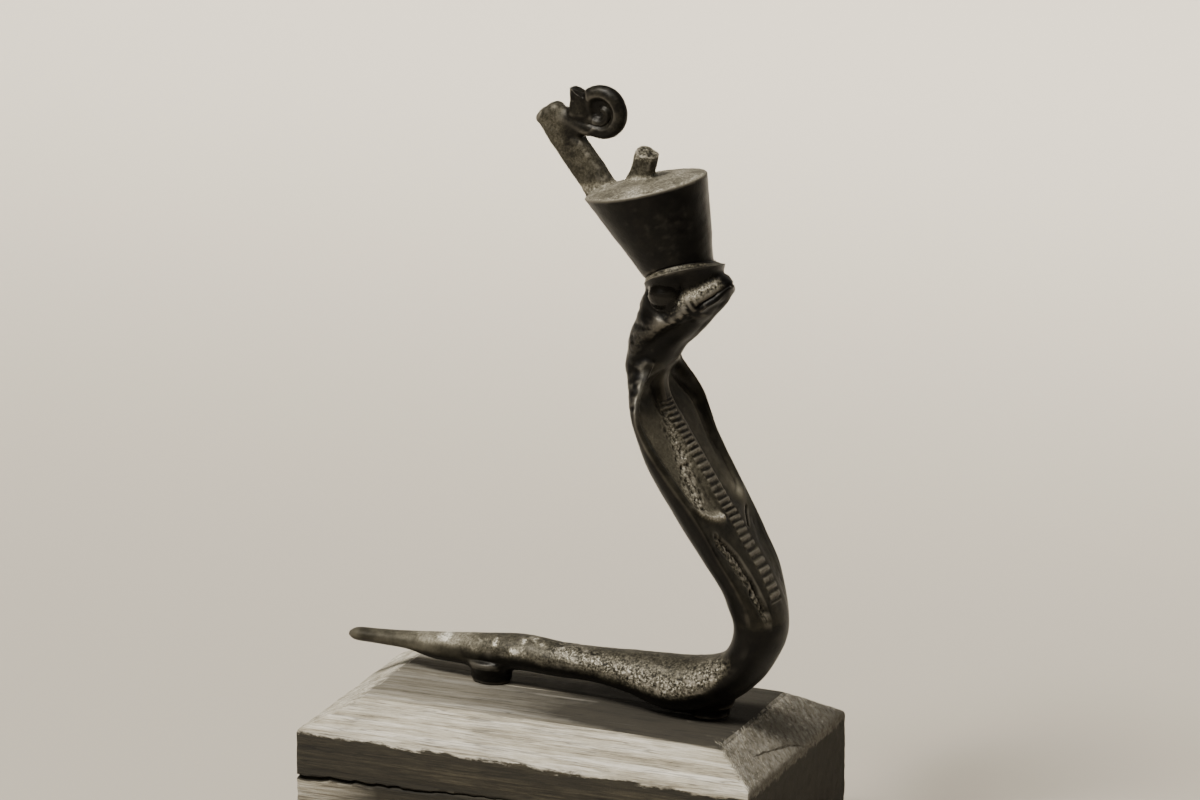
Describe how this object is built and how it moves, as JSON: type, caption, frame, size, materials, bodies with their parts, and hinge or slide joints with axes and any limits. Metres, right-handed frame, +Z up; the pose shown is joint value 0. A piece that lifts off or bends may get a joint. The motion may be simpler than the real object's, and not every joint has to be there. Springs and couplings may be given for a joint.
{
  "type": "cobra goddess statuette",
  "caption": "Bronze rearing cobra with a spread hood and a tall crown with a broken curl, standing on pegs on a bevelled wooden plinth.",
  "frame": {"origin": "on the plinth's underside, below the middle of the whole object's length and width", "axes": "+Z up, +X the way the cobra faces, +Y to the cobra's left"},
  "size_m": [0.1476, 0.0788, 0.2338],
  "materials": {
    "bronze": "cast bronze with a dark brown to olive patina, satin where rubbed, rough and pitted in the hollows",
    "old_wood": "old dry grey-brown wood, worn pale on its bevels and darker on its upright sides, with splits along the grain"
  },
  "bodies": {
    "root": {"cobra": "bronze", "plinth": "old_wood"}
  },
  "joints": []
}
